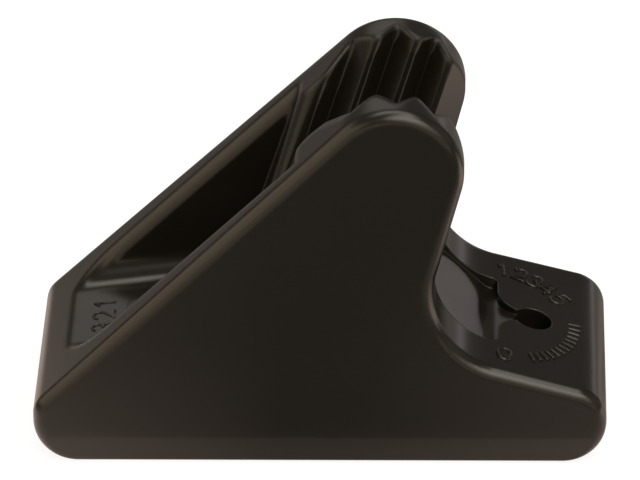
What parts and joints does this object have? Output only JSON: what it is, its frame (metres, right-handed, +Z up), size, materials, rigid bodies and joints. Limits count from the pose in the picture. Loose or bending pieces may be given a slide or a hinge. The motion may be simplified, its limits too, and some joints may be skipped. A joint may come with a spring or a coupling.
{
  "type": "jam cleat",
  "caption": "One-piece moulded jam cleat that grips a rope between toothed V jaws, with a rope trough, a tail ramp and screw holes.",
  "frame": {"origin": "centre of the base on the deck, midway between the two ends and the two sides", "axes": "+X along the cleat towards the tail ramp, where the rope is pulled, -X towards the nose, where the loaded rope leaves, +Y across it, +Z up from the deck"},
  "size_m": [0.066, 0.0286, 0.0448],
  "materials": {
    "nylon": "semi-matt dark moulded nylon"
  },
  "bodies": {
    "root": {"cleat_body": "nylon"}
  },
  "joints": []
}
